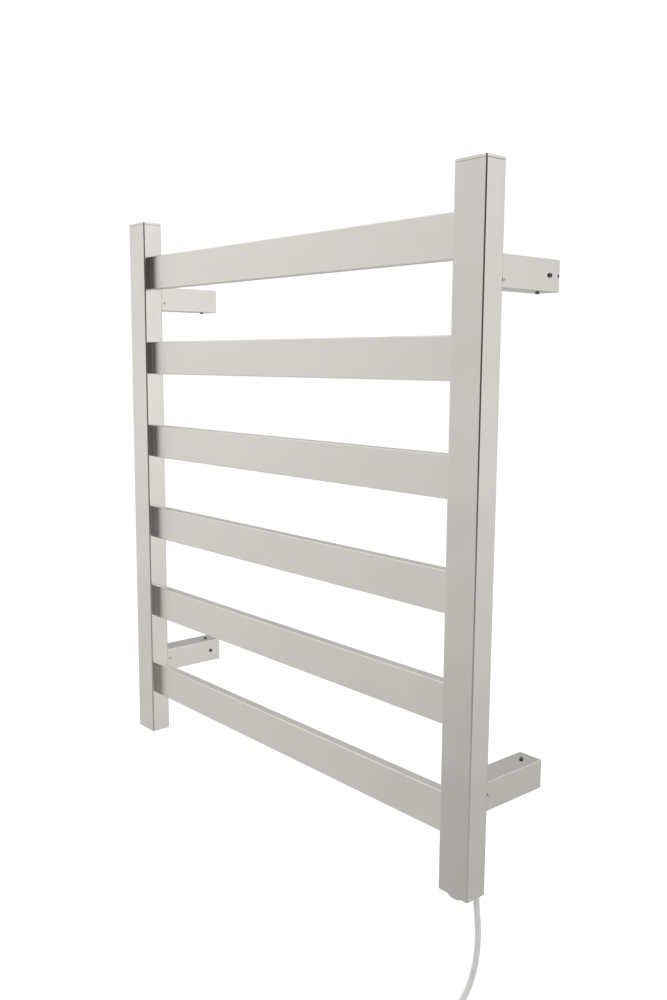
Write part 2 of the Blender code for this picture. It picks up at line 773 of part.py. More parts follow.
def leads():
    """The insulated leads between the mains lead, the switch, the terminal block and the earth stud."""
    live_start, neutral_start, earth_start = (
        Vector((EXIT_X, EXIT_Y, RELIEF_TOP + GAP)) + 0.0012 * Vector((math.cos(turn), math.sin(turn), 0))
        for turn in (math.radians(150), math.radians(270), math.radians(30))
    )
    over = CONTACTS_TOP + 0.013
    blade_x = SWITCH_X + BLADE_REACH
    live = [
        live_start,
        live_start + Vector((-0.0010, -0.0002, 0.008)),
        (EXIT_X - 0.0060, EXIT_Y - 0.003, over),
        (blade_x + 0.0035, SWITCH_Y + 0.001, over + 0.0015),
        (blade_x + 0.0005, SWITCH_Y, over - 0.002),
        (blade_x, SWITCH_Y, BLADE_TOP + 0.0001),
    ]
    switched_x = SWITCH_X - BLADE_REACH
    switched = [
        (switched_x, SWITCH_Y, BLADE_TOP + 0.0001),
        (switched_x - 0.001, SWITCH_Y, BLADE_TOP + 0.006),
        (switched_x, SWITCH_Y, TERMINAL_BOTTOM - GAP),
    ]
    neutral = [
        neutral_start,
        neutral_start + Vector((0.0002, -0.0030, 0.010)),
        (RISER_X + 0.0035, SWITCH_Y + 0.001, TERMINAL_BOTTOM - 0.007),
        (RISER_X + 0.0020, SWITCH_Y + 0.001, TERMINAL_BOTTOM - GAP),
    ]
    earth = [
        earth_start,
        earth_start + Vector((0.0012, 0.0012, 0.012)),
        (EXIT_X + 0.0028, EXIT_Y + 0.0020, TERMINAL_TOP),
        (EARTH_X + 0.0010, EXIT_Y + 0.0036, EARTH_Z - 0.020),
        (EARTH_X, POST_BACK - 0.0027, EARTH_Z - 0.0125),
    ]
    to_limiter = [(RISER_X, BAR_Y, TERMINAL_TOP + GAP), (RISER_X, BAR_Y, LIMITER_BOTTOM - GAP)]
    for name, route, material in (
        ("lead_live", live, WIRE_BROWN),
        ("lead_switched", switched, WIRE_BROWN),
        ("lead_neutral", neutral, WIRE_BLUE),
        ("lead_earth", earth, WIRE_GREEN),
        ("lead_limiter", to_limiter, WIRE_BROWN),
    ):
        wire(name, smooth_route(route, 0.004), LEAD_RADIUS, material)


def earth_point():
    """A stud on the right post's back wall, with a ring lug under a nut."""
    wall = POST_BACK - POST_WALL - GAP
    stud_middle = (EARTH_X, wall - EARTH_STUD_LENGTH / 2, EARTH_Z)
    rod("earth_stud", EARTH_STUD_RADIUS, EARTH_STUD_LENGTH, stud_middle, "Y", ZINC, 16)
    lug_y = wall - GAP - EARTH_LUG_THICKNESS / 2
    hole = circle(EARTH_STUD_RADIUS + GAP, steps=16)
    ring = circle(EARTH_LUG_RADIUS, steps=16)
    lug = prism("earth_lug", [ring, hole], EARTH_LUG_THICKNESS, (EARTH_X, lug_y, EARTH_Z), "Y", BRASS)
    tail_z = EARTH_Z - EARTH_STUD_RADIUS - 0.0012 - EARTH_LUG_TAIL[2] / 2
    combine(lug, box("tail", EARTH_LUG_TAIL, (EARTH_X, lug_y, tail_z)), "UNION")
    nut_y = lug_y - EARTH_LUG_THICKNESS / 2 - GAP - EARTH_NUT_DEPTH / 2
    hexagon = circle(EARTH_NUT_RADIUS, steps=6)
    prism("earth_nut", [hexagon, hole], EARTH_NUT_DEPTH, (EARTH_X, nut_y, EARTH_Z), "Y", ZINC)


def build():
    for name, side in (("left", -1), ("right", 1)):
        post(f"{name}_post", side)
        top_cap(f"{name}_top_cap", side)
    bottom_cap("left_bottom_cap", -1)
    switch_hole = (BARREL_RADIUS + GAP, SWITCH_X, SWITCH_Y)
    cord_hole = (RELIEF_RADIUS + GAP, EXIT_X, EXIT_Y)
    bottom_cap("right_bottom_cap", 1, (switch_hole, cord_hole))
    for i, level in enumerate(BAR_LEVELS):
        bar(f"bar_{i + 1}", level)
    screw_mesh = set_screw_mesh()
    for name, side, upper in (
        ("upper_left", -1, True),
        ("upper_right", 1, True),
        ("lower_left", -1, False),
        ("lower_right", 1, False),
    ):
        arm(name, side, upper, screw_mesh)
    bpy.data.meshes.remove(screw_mesh)
    switch()
    strain_relief()
    cord()
    plug()
    heater()
    leads()
    earth_point()


build()
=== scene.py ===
"""Wall-hung towel warmer in polished steel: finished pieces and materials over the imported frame."""

import json
import math

import bmesh
import bpy
from mathutils import Matrix, Vector


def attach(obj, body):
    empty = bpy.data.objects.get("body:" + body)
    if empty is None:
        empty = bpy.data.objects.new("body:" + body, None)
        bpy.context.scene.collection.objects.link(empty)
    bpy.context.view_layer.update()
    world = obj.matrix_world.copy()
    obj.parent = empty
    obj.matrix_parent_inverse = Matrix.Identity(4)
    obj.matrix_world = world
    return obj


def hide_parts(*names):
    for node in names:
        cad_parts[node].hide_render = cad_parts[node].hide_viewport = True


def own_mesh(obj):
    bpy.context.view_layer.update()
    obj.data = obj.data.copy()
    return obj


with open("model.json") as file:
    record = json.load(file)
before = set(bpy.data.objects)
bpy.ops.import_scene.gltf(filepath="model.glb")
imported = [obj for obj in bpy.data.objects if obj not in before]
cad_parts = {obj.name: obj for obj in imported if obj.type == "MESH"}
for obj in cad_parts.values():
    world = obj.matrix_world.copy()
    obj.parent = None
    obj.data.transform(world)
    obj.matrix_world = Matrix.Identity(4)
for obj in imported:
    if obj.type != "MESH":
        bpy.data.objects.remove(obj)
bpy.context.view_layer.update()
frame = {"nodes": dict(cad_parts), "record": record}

# Frame: X along the bars, Y back into the wall (the wall plane is y = 0), Z up. Metres.
CAMERA_AT = (1.0264, -0.9142, 0.1918)
CAMERA_YAW = 0.8562
CAMERA_PITCH = -0.1384
CAMERA_ROLL = 0.0067
CAMERA_LENS = 35.43
FLOOR_Z = -0.80

POST_X = 0.335
POST_WIDTH, POST_DEPTH, POST_WALL, POST_RADIUS = 0.044, 0.030, 0.0012, 0.002
POST_Y = -0.119
TOP, BOTTOM = 0.400, -0.400
LID = 0.003
SEAM = 0.0003
SKIRT_DEPTH, SKIRT_RADIUS = 0.0145, 0.0008
LID_EDGE = 0.0006
BAR_HEIGHT, BAR_DEPTH, BAR_RADIUS = 0.049, 0.014, 0.0015
BAR_Y = -0.116
BAR_END = 0.313
TOP_BAR, BAR_PITCH = 0.3255, 0.128
BAR_LEVELS = [TOP_BAR - BAR_PITCH * i for i in range(6)]
ARM_WIDTH, ARM_HEIGHT, ARM_WALL, ARM_RADIUS = 0.032, 0.035, 0.0012, 0.0009
ARM_START, ARM_END = -0.104, -0.0004
ARM_LEVEL = 0.288
SET_SCREW_RADIUS, SET_SCREW_LENGTH, SET_SCREW_CHAMFER = 0.0025, 0.005, 0.0005
SET_SCREW_SOCKET, SET_SCREW_SOCKET_DEPTH = 0.00125, 0.0022
SET_SCREW_CUP, SET_SCREW_CUP_DEPTH = 0.0008, 0.0003
SET_SCREW_Y, SET_SCREW_PROUD = -0.018, 0.002
ARM_SCREW_RADIUS, ARM_SCREW_HEAD, ARM_SCREW_LENGTH = 0.0015, 0.0023, 0.007
ARM_SCREW_SOCKET, ARM_SCREW_SOCKET_DEPTH = 0.0007, 0.0004
ARM_SCREW_Y = -0.096
# How far each arm's screw stands above the arm's middle
ARM_SCREW_RISE = {"upper_left": -0.006, "upper_right": -0.009, "lower_left": 0.0015, "lower_right": 0.0015}
END_HOLE_RADIUS, END_HOLE_Y = 0.0017, -0.0026
# How far a hole's cutter goes to each side of the face that it drills
HOLE_REACH = 0.004
# The air between two pieces that would touch, and how far a sharp edge is broken
GAP, EDGE = 0.0003, 0.0003
# How far a welded or glued piece reaches into its neighbour
BITE = 0.0001

SWITCH_AT = (0.3325, -0.1195, 0)
SWITCH_TOP, SWITCH_FACE = -0.389, -0.4047
SWITCH_FLOOR = 0.003
FLANGE_RADIUS, RIM_RADIUS, BORE_RADIUS, SHAFT_BORE = 0.0130, 0.0121, 0.0099, 0.0029
BUTTON_RADIUS, BUTTON_SHAFT, BUTTON_FACE = 0.0096, 0.0026, -0.4072
SPRING_LOW, SPRING_HIGH = -0.3999, -0.3926
SPRING_RADIUS, SPRING_WIRE, SPRING_TURNS = 0.0055, 0.0003, 4

CORD_DIAMETER = 0.007
CORD_EXIT = (0.3504, -0.1106, -0.4018)
RUN_LEFT, RUN_RIGHT = 0.311, 0.353
FOLD_TOP, FOLD_LOW = -0.5975, -0.6745
RUN_FRONT = -0.112
# How often the hank goes round
TURNS = 4
# The angle in the upper fold by which each turn has gone back to the next one's place
FOLD_BACK = math.radians(150)
CORD_SPACING = 0.003
STRAP_LEVEL, STRAP_HEIGHT, STRAP_THICK, STRAP_CORNER, STRAP_SLACK = -0.636, 0.012, 0.0012, 0.0046, 0.0004
LAP_WIDTH, LAP_HEIGHT, LAP_THICK, LAP_CORNER, LAP_OFFSET = 0.018, 0.0116, 0.0011, 0.0015, 0.004
PLUG_TOP = -0.693
RIBS, RIB_PITCH, RIB_DEPTH = 5, 0.0042, 0.0007

# How finely round shapes are drawn
CORNER_STEPS = 6
FOLD_STEPS = 14
SPRING_STEPS = 24
SCREW_SIDES = 24
PLUG_SIDES = 48
SMALLEST_RADIUS, SMALLEST_INNER_RADIUS = 0.0002, 0.0004


def smooth_route(points, spacing):
    """Points about a spacing apart along a smooth curve through the route's own points."""
    points = [Vector(point) for point in points]
    ends = [2 * points[0] - points[1], *points, 2 * points[-1] - points[-2]]
    route = [points[0]]
    for before, start, end, after in zip(ends, ends[1:], ends[2:], ends[3:]):
        count = max(1, round((end - start).length / spacing))
        for step in range(1, count + 1):
            t = step / count
            square = (2 * before - 5 * start + 4 * end - after) * t**2
            cube = (3 * start - before - 3 * end + after) * t**3
            route.append(0.5 * (2 * start + (end - before) * t + square + cube))
    return route


def camera():
    """The camera at the photo's place and angle."""
    yaw, pitch, roll = CAMERA_YAW, CAMERA_PITCH, CAMERA_ROLL
    across = math.cos(pitch)
    forward = Vector((-math.sin(yaw) * across, math.cos(yaw) * across, math.sin(pitch)))
    right = Vector((math.cos(yaw), math.sin(yaw), 0))
    up = right.cross(forward)
    turned_right = math.cos(roll) * right + math.sin(roll) * up
    turned_up = math.cos(roll) * up - math.sin(roll) * right
    data = bpy.data.cameras.new("camera")
    data.lens = CAMERA_LENS
    holder = bpy.data.objects.new("camera", data)
    rows = Matrix((turned_right, turned_up, -forward)).transposed()
    holder.matrix_world = Matrix.Translation(CAMERA_AT) @ rows.to_4x4()
    bpy.context.scene.collection.objects.link(holder)
    bpy.context.scene.camera = holder


def add_piece(name, mesh, material, slot, *nodes, body="rack"):
    """Makes a mesh a piece of the rack that stands for the CAD nodes."""
    mesh.materials.clear()
    mesh.materials.append(material)
    piece = bpy.data.objects.new(name, mesh)
    bpy.context.scene.collection.objects.link(piece)
    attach(piece, body)
    if nodes:
        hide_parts(*nodes)
    return piece


def hank_route():
    """The put-away lead: down the left side, up the right, one turn behind the other."""
    fold = (RUN_RIGHT - RUN_LEFT) / 2
    middle = (RUN_LEFT + RUN_RIGHT) / 2
    route = []
    run = FOLD_TOP - FOLD_LOW
    for turn in range(TURNS):
        y = RUN_FRONT + CORD_DIAMETER * turn
        for step in range(1, 4):
            route.append((RUN_LEFT, y, FOLD_TOP - run * step / 4))
        for step in range(FOLD_STEPS + 1):
            angle = math.pi * (1 + step / FOLD_STEPS)
            route.append((middle + fold * math.cos(angle), y, FOLD_LOW + fold * math.sin(angle)))
        for step in range(1, 4):
            route.append((RUN_RIGHT, y, FOLD_LOW + run * step / 4))
        for step in range(FOLD_STEPS + 1):
            angle = math.pi * step / FOLD_STEPS
            back = CORD_DIAMETER * min(1.0, angle / FOLD_BACK)
            route.append((middle + fold * math.cos(angle), y + back, FOLD_TOP + fold * math.sin(angle)))
    y = RUN_FRONT + CORD_DIAMETER * TURNS
    for step in range(1, 6):
        route.append((RUN_LEFT, y, FOLD_TOP + (PLUG_TOP - FOLD_TOP) * step / 5))
    return route


def cord(material):
    """The lead: its free stretch as the photo shows it, then the hank. Returns the piece and its length."""
    route = [
        CORD_EXIT,
        (0.3508, -0.1103, -0.412),
        (0.3520, -0.1094, -0.430),
        (0.3528, -0.1088, -0.449),
        (0.3521, -0.1090, -0.470),
        (0.3494, -0.1098, -0.492),
        (0.3440, -0.1108, -0.514),
        (0.3356, -0.1116, -0.536),
        (0.3255, -0.1120, -0.555),
        (0.3185, -0.1120, -0.568),
        (0.3145, -0.1120, -0.578),
        (0.3118, -0.1120, -0.588),
        (0.3110, -0.1120, FOLD_TOP),
    ]
    points = smooth_route([*route, *hank_route()], CORD_SPACING)
    curve = bpy.data.curves.new("lead", "CURVE")
    curve.dimensions = "3D"
    curve.bevel_depth = CORD_DIAMETER / 2
    curve.bevel_resolution = 5
    curve.use_fill_caps = True
    spline = curve.splines.new("POLY")
    spline.points.add(len(points) - 1)
    for knot, point in zip(spline.points, points):
        knot.co = (*point, 1)
    spline.use_smooth = True
    lead = add_piece("lead", curve, material, "cord_grey", "mains_cord", "cord_hank")
    length = sum((b - a).length for a, b in zip(points, points[1:]))
    return lead, length


def rounded(width, height, radius, inset=0.0):
    """The outline of a rectangle with round corners about the origin, drawn smaller by the inset."""
    points = []
    corner_radius = max(radius - inset, SMALLEST_RADIUS)
    reach_u = width / 2 - max(radius, inset)
    reach_v = height / 2 - max(radius, inset)
    for quarter, (side, level) in enumerate(((1, 1), (-1, 1), (-1, -1), (1, -1))):
        for step in range(CORNER_STEPS + 1):
            angle = math.pi / 2 * (quarter + step / CORNER_STEPS)
            u = side * reach_u + corner_radius * math.cos(angle)
            v = level * reach_v + corner_radius * math.sin(angle)
            points.append((u, v))
    return points


def circle(radius, count):
    turn = [2 * math.pi * i / count for i in range(count)]
    return [(radius * math.cos(angle), radius * math.sin(angle)) for angle in turn]


def hexagon(apothem, count):
    """A hexagon with as many points as a circle of that count, so that the two can be joined."""
    points = []
    for i in range(count):
        angle = 2 * math.pi * i / count
        off_flat = (angle + math.pi / 6) % (math.pi / 3) - math.pi / 6
        reach = apothem / math.cos(off_flat)
        points.append((reach * math.cos(angle), reach * math.sin(angle)))
    return points


def squircle(half, power):
    """An outline between a circle, at a power of 2, and a square, at a large one."""
    points = []
    for i in range(PLUG_SIDES):
        angle = 2 * math.pi * i / PLUG_SIDES
        across, up = math.cos(angle), math.sin(angle)
        u = half * math.copysign(abs(across) ** (2 / power), across)
        v = half * math.copysign(abs(up) ** (2 / power), up)
        points.append((u, v))
    return points


# Where an outline's two coordinates and its level go, for each direction that it is raised along
ORDER = {"X": (1, 2, 0), "Y": (0, 2, 1), "Z": (0, 1, 2)}


def ring(outline, level, centre=(0, 0, 0), axis="Z"):
    """The outline's points in space, raised to a level along the axis."""
    first, second, raised = ORDER[axis]
    points = []
    for u, v in outline:
        point = Vector(centre)
        point[first] += u
        point[second] += v
        point[raised] += level
        points.append(point)
    return points


SHARP_ANGLE = 35


def loft(name, rings, hollow=False, sharp_angle=SHARP_ANGLE):
    """Joins rings of points in order. A hollow loft closes on its first ring, and another is capped."""
    bm = bmesh.new()
    loops = [[bm.verts.new(point) for point in points] for points in rings]
    pairs = list(zip(loops, loops[1:]))
    if hollow:
        pairs.append((loops[-1], loops[0]))
    else:
        bm.faces.new(loops[0])
        bm.faces.new(loops[-1])
    count = len(loops[0])
    for low, high in pairs:
        for i in range(count):
            bm.faces.new((low[i], low[(i + 1) % count], high[(i + 1) % count], high[i]))
    bmesh.ops.recalc_face_normals(bm, faces=bm.faces)
    mesh = bpy.data.meshes.new(name)
    bm.to_mesh(mesh)
    bm.free()
    mesh.shade_smooth()
    mesh.set_sharp_from_angle(angle=math.radians(sharp_angle))
    return mesh


def level_shading(piece):
    """Keeps large flat faces flat beside their rounded edges."""
    weighted = piece.modifiers.new("weighted_normals", "WEIGHTED_NORMAL")
    weighted.weight = 100
    weighted.keep_sharp = True
    return piece


def baked(holder):
    """The object's mesh with its modifiers applied. The object goes."""
    graph = bpy.context.evaluated_depsgraph_get()
    mesh = bpy.data.meshes.new_from_object(holder.evaluated_get(graph))
    bpy.data.objects.remove(holder, do_unlink=True)
    return mesh


def drilled(mesh, cutters):
    """The mesh with each cutter's shape taken out of it, shaded again."""
    holder = bpy.data.objects.new("drilled", mesh)
    bpy.context.scene.collection.objects.link(holder)
    helpers = []
    for cutter in cutters:
        helper = bpy.data.objects.new("cutter", cutter)
        bpy.context.scene.collection.objects.link(helper)
        boolean = holder.modifiers.new("hole", "BOOLEAN")
        boolean.operation = "DIFFERENCE"
        boolean.object = helper
        helpers.append(helper)
    bpy.context.view_layer.update()
    result = baked(holder)
    for helper in helpers:
        bpy.data.objects.remove(helper, do_unlink=True)
    result.shade_smooth()
    result.set_sharp_from_angle(angle=math.radians(SHARP_ANGLE))
    return result


def tube(name, width, height, wall, radius, start, end, centre, axis):
    """A rectangular tube with round corners and broken end edges."""
    inner_radius = max(radius - wall, SMALLEST_INNER_RADIUS)
    inner = rounded(width - 2 * wall, height - 2 * wall, inner_radius)
    outer = rounded(width, height, radius)
    broken = rounded(width, height, radius, EDGE)
    rings = [
        ring(broken, start, centre, axis),
        ring(outer, start + EDGE, centre, axis),
        ring(outer, end - EDGE, centre, axis),
        ring(broken, end, centre, axis),
        ring(inner, end, centre, axis),
        ring(inner, start, centre, axis),
    ]
    return loft(name, rings, hollow=True)


def posts(steel):
    for name, side in (("left_post", -1), ("right_post", 1)):
        centre = (side * POST_X, POST_Y, 0)
        size = (POST_WIDTH, POST_DEPTH, POST_WALL, POST_RADIUS)
        mesh = tube(name, *size, BOTTOM, TOP - LID - SEAM, centre, "Z")
        level_shading(add_piece(f"{name}_tube", mesh, steel, "polished_steel", name))


def lids(steel):
    """The posts' lids, each with its skirt inside the post below the seam."""
    inside_width = POST_WIDTH - 2 * POST_WALL - 2 * GAP
    inside_depth = POST_DEPTH - 2 * POST_WALL - 2 * GAP
    skirt = rounded(inside_width, inside_depth, SKIRT_RADIUS)
    size = (POST_WIDTH, POST_DEPTH, POST_RADIUS)
    full = rounded(*size)
    for side_name, side in (("left", -1), ("right", 1)):
        centre = (side * POST_X, POST_Y, 0)
        rings = [
            ring(skirt, TOP - SKIRT_DEPTH, centre),
            ring(skirt, TOP - LID, centre),
            ring(rounded(*size, EDGE), TOP - LID, centre),
            ring(full, TOP - LID + EDGE, centre),
            ring(full, TOP - LID_EDGE, centre),
            ring(rounded(*size, 0.3 * LID_EDGE), TOP - 0.3 * LID_EDGE, centre),
            ring(rounded(*size, LID_EDGE), TOP, centre),
        ]
        mesh = loft("lid", rings)
        piece = add_piece(f"{side_name}_lid", mesh, steel, "polished_steel", f"{side_name}_top_cap")
        level_shading(piece)


# How far a bar's weld stands out from it, by the distance from the post
WELD = ((0.0, 0.0010), (0.00015, 0.0006), (0.0004, 0.00028), (0.0007, 0.0001), (0.0011, 0.0))


def bars(steel):
    """The bars, each with its weld fillet swelling out at both ends."""
    reach = BAR_END + BITE
    ends = [(reach - off, stand) for off, stand in WELD]
    levels = [(-x, stand) for x, stand in ends] + [(x, stand) for x, stand in reversed(ends)]
    for i, height in enumerate(BAR_LEVELS):
        rings = []
        for x, stand in levels:
            outline = rounded(BAR_DEPTH + 2 * stand, BAR_HEIGHT + 2 * stand, BAR_RADIUS + stand)
            rings.append(ring(outline, x, (0, BAR_Y, height), "X"))
        mesh = loft(f"bar_{i + 1}", rings)
        level_shading(add_piece(f"bar_{i + 1}_tube", mesh, steel, "polished_steel", f"bar_{i + 1}"))


def hole(radius, centre, axis):
    """A round cutter through the wall whose face its centre is on."""
    outline = circle(radius, SCREW_SIDES)
    rings = [ring(outline, -HOLE_REACH, centre, axis), ring(outline, HOLE_REACH, centre, axis)]
    return loft("hole", rings)


def arms(steel, screw_steel):
    """The standoff tubes with their screws.

    An upper arm's set screws are in its lower face and its outer side, and a lower arm's are in its upper
    face and its inner side.
    """
    for name, side, upper in (
        ("upper_left", -1, True),
        ("upper_right", 1, True),
        ("lower_left", -1, False),
        ("lower_right", 1, False),
    ):
        x = side * POST_X
        level = ARM_LEVEL if upper else -ARM_LEVEL
        inwards = -1 if upper else 1
        set_side = side if upper else -side
        face_z = level + inwards * ARM_HEIGHT / 2
        face_x = x + set_side * ARM_WIDTH / 2
        screw_at = (x + ARM_WIDTH / 2, ARM_SCREW_Y, level + ARM_SCREW_RISE[name])
        size = (ARM_WIDTH, ARM_HEIGHT, ARM_WALL, ARM_RADIUS)
        mesh = tube(name, *size, ARM_START, ARM_END, (x, 0, level), "Y")
        cutters = [
            hole(SET_SCREW_RADIUS + GAP, (x, SET_SCREW_Y, face_z), "Z"),
            hole(SET_SCREW_RADIUS + GAP, (face_x, SET_SCREW_Y, level), "X"),
            hole(ARM_SCREW_RADIUS + GAP, screw_at, "X"),
        ]
        if upper:
            cutters.append(hole(END_HOLE_RADIUS, (x + side * ARM_WIDTH / 2, END_HOLE_Y, level), "X"))
        mesh = drilled(mesh, cutters)
        level_shading(add_piece(f"{name}_standoff", mesh, steel, "polished_steel", f"{name}_arm"))

        under = "under" if upper else "top"
        outwards = Vector((0, 0, inwards))
        seat = Vector((x, SET_SCREW_Y, face_z + inwards * SET_SCREW_PROUD))
        set_screw(f"{name}_grub_{under}", seat, outwards, screw_steel, f"{name}_set_screw_{under}")
        seat = Vector((face_x + set_side * SET_SCREW_PROUD, SET_SCREW_Y, level))
        outwards = Vector((set_side, 0, 0))
        set_screw(f"{name}_grub_side", seat, outwards, screw_steel, f"{name}_set_screw_side")
        outwards = Vector((1, 0, 0))
        seat = Vector(screw_at) + GAP * outwards
        button_screw(f"{name}_fixing", seat, outwards, steel, f"{name}_arm_screw")


def stand(mesh, seat, outwards):
    """Turns a mesh made along Z to point outwards, at its seat."""
    turn = outwards.to_track_quat("Z", "Y").to_matrix().to_4x4()
    mesh.transform(Matrix.Translation(seat) @ turn)
    return mesh


def set_screw(name, seat, outwards, material, node):
    """A headless screw with a hexagon socket, a chamfer and a cup point."""
    chamfered = SET_SCREW_RADIUS - SET_SCREW_CHAMFER
    rings = [
        ring(hexagon(SET_SCREW_SOCKET, SCREW_SIDES), -SET_SCREW_SOCKET_DEPTH),
        ring(hexagon(SET_SCREW_SOCKET, SCREW_SIDES), -0.0002),
        ring(hexagon(SET_SCREW_SOCKET + 0.00015, SCREW_SIDES), 0.0),
        ring(circle(chamfered, SCREW_SIDES), 0.0),
        ring(circle(SET_SCREW_RADIUS, SCREW_SIDES), -SET_SCREW_CHAMFER),
        ring(circle(SET_SCREW_RADIUS, SCREW_SIDES), SET_SCREW_CHAMFER - SET_SCREW_LENGTH),
        ring(circle(chamfered, SCREW_SIDES), -SET_SCREW_LENGTH),
        ring(circle(SET_SCREW_CUP, SCREW_SIDES), SET_SCREW_CUP_DEPTH - SET_SCREW_LENGTH),
    ]
    mesh = stand(loft(name, rings), seat, outwards)
    add_piece(name, mesh, material, "screw_steel", node)


# The domed head of an arm's screw, as radius and height
DOME = ((0.0012, 0.00068), (0.0017, 0.00052), (0.0021, 0.00026), (ARM_SCREW_HEAD, 0.0))


def button_screw(name, seat, outwards, material, node):
    """A low domed screw with a hexagon socket."""
    rings = [
        ring(hexagon(ARM_SCREW_SOCKET, SCREW_SIDES), -ARM_SCREW_SOCKET_DEPTH),
        ring(hexagon(ARM_SCREW_SOCKET + 0.0001, SCREW_SIDES), 0.00066),
    ]
    profile = (*DOME, (ARM_SCREW_RADIUS, 0.0), (ARM_SCREW_RADIUS, -ARM_SCREW_LENGTH))
    rings += [ring(circle(radius, SCREW_SIDES), height) for radius, height in profile]
    mesh = stand(loft(name, rings), seat, outwards)
    add_piece(name, mesh, material, "polished_steel", node)


def turned(profile, centre, hollow=False, count=64):
    """A turned shape from (radius, height) pairs."""
    rings = [ring(circle(radius, count), height, centre) for radius, height in profile]
    return loft("turned", rings, hollow)


def switch(steel, zinc):
    """The push button in its housing, both turned, with the spring between them."""
    housing = [
        (SHAFT_BORE, SWITCH_TOP),
        (0.0112, SWITCH_TOP),
        (0.0112, BOTTOM - GAP),
        (FLANGE_RADIUS - 0.0002, BOTTOM - GAP),
        (FLANGE_RADIUS, BOTTOM - GAP - 0.0002),
        (FLANGE_RADIUS, SWITCH_FACE + 0.0012),
        (FLANGE_RADIUS - 0.0003, SWITCH_FACE + 0.0004),
        (RIM_RADIUS, SWITCH_FACE),
        (BORE_RADIUS + 0.0002, SWITCH_FACE),
        (BORE_RADIUS, SWITCH_FACE + 0.0002),
        (BORE_RADIUS, SWITCH_TOP - SWITCH_FLOOR),
        (SHAFT_BORE, SWITCH_TOP - SWITCH_FLOOR),
    ]
    mesh = turned(housing, SWITCH_AT, hollow=True)
    level_shading(add_piece("switch_bezel", mesh, steel, "polished_steel", "switch_housing"))
    button = [
        (BUTTON_SHAFT, -0.388),
        (BUTTON_SHAFT, -0.4005),
        (BUTTON_RADIUS, -0.4005),
        (BUTTON_RADIUS, BUTTON_FACE + 0.0009),
        (BUTTON_RADIUS - 0.00025, BUTTON_FACE + 0.0003),
        (BUTTON_RADIUS - 0.0009, BUTTON_FACE),
        (0.0080, BUTTON_FACE + 0.00008),
        (0.0040, BUTTON_FACE + 0.0004),
        (0.0002, BUTTON_FACE + 0.0005),
    ]
    mesh = turned(button, SWITCH_AT)
    slot, body = "polished_steel", "power_button"
    level_shading(add_piece("push_button", mesh, steel, slot, "power_button", body=body))
    spring(zinc)


def spring(zinc):
    """The return spring, drawn here as a fixed coil; the real one shortens as the button goes in."""
    length = SPRING_HIGH - SPRING_LOW
    count = SPRING_TURNS * SPRING_STEPS
    curve = bpy.data.curves.new("spring", "CURVE")
    curve.dimensions = "3D"
    curve.bevel_depth = SPRING_WIRE
    curve.bevel_resolution = 3
    curve.use_fill_caps = True
    spline = curve.splines.new("POLY")
    spline.points.add(count)
    for i, knot in enumerate(spline.points):
        angle = 2 * math.pi * i / SPRING_STEPS
        x = SWITCH_AT[0] + SPRING_RADIUS * math.cos(angle)
        y = SWITCH_AT[1] + SPRING_RADIUS * math.sin(angle)
        knot.co = (x, y, SPRING_LOW + length * i / count, 1)
    drawn = bpy.data.objects.new("spring", curve)
    bpy.context.scene.collection.objects.link(drawn)
    bpy.context.view_layer.update()
    mesh = baked(drawn)
    mesh.shade_smooth()
    piece = add_piece("return_spring", mesh, zinc, "zinc_plated", "switch_spring")
    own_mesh(piece)


def strain_relief(material):
    """The bush in the post's lower end, its sleeve tapering and ribbed inside the post."""
    x, y, _ = CORD_EXIT
    profile = [
        (0.0034, -0.3780),
        (0.0034, -0.3800),
        (0.0037, -0.3810),
        (0.0034, -0.3820),
        (0.0037, -0.3840),
        (0.0035, -0.3850),
        (0.0038, -0.3870),
        (0.0036, -0.3880),
        (0.0039, -0.3900),
        (0.0039, -0.4003),
        (0.0046, -0.4003),
        (0.0047, -0.4005),
        (0.0047, -0.4012),
        (0.0045, -0.4016),
        (0.0041, -0.4018),
    ]
    mesh = turned(profile, (x, y, 0), count=32)
    return add_piece("lead_bush", mesh, material, "relief_grey", "cord_strain_relief")


def tie(material):
    """A soft strap round the hank, its end lapped over at the front."""
    width = RUN_RIGHT - RUN_LEFT + CORD_DIAMETER + STRAP_SLACK
    depth = CORD_DIAMETER * (TURNS + 1) + STRAP_SLACK
    centre = ((RUN_LEFT + RUN_RIGHT) / 2, RUN_FRONT + CORD_DIAMETER * TURNS / 2, 0)
    size = (width + 2 * STRAP_THICK, depth + 2 * STRAP_THICK, STRAP_THICK, STRAP_CORNER)
    low, high = STRAP_LEVEL - STRAP_HEIGHT / 2, STRAP_LEVEL + STRAP_HEIGHT / 2
    mesh = tube("strap", *size, low, high, centre, "Z")
    strap = add_piece("strap", mesh, material, "relief_grey", "cord_tie")
    level_shading(strap)

    front = centre[1] - depth / 2 - STRAP_THICK
    lap_at = (centre[0] + LAP_OFFSET, 0, STRAP_LEVEL)
    size = (LAP_WIDTH, LAP_HEIGHT, LAP_CORNER)
    rings = [
        ring(rounded(*size), front + BITE, lap_at, "Y"),
        ring(rounded(*size), front - LAP_THICK + EDGE, lap_at, "Y"),
        ring(rounded(*size, EDGE), front - LAP_THICK, lap_at, "Y"),
    ]
    lap = level_shading(add_piece("strap_end", loft("strap_end", rings), material, "relief_grey"))
    return strap, lap


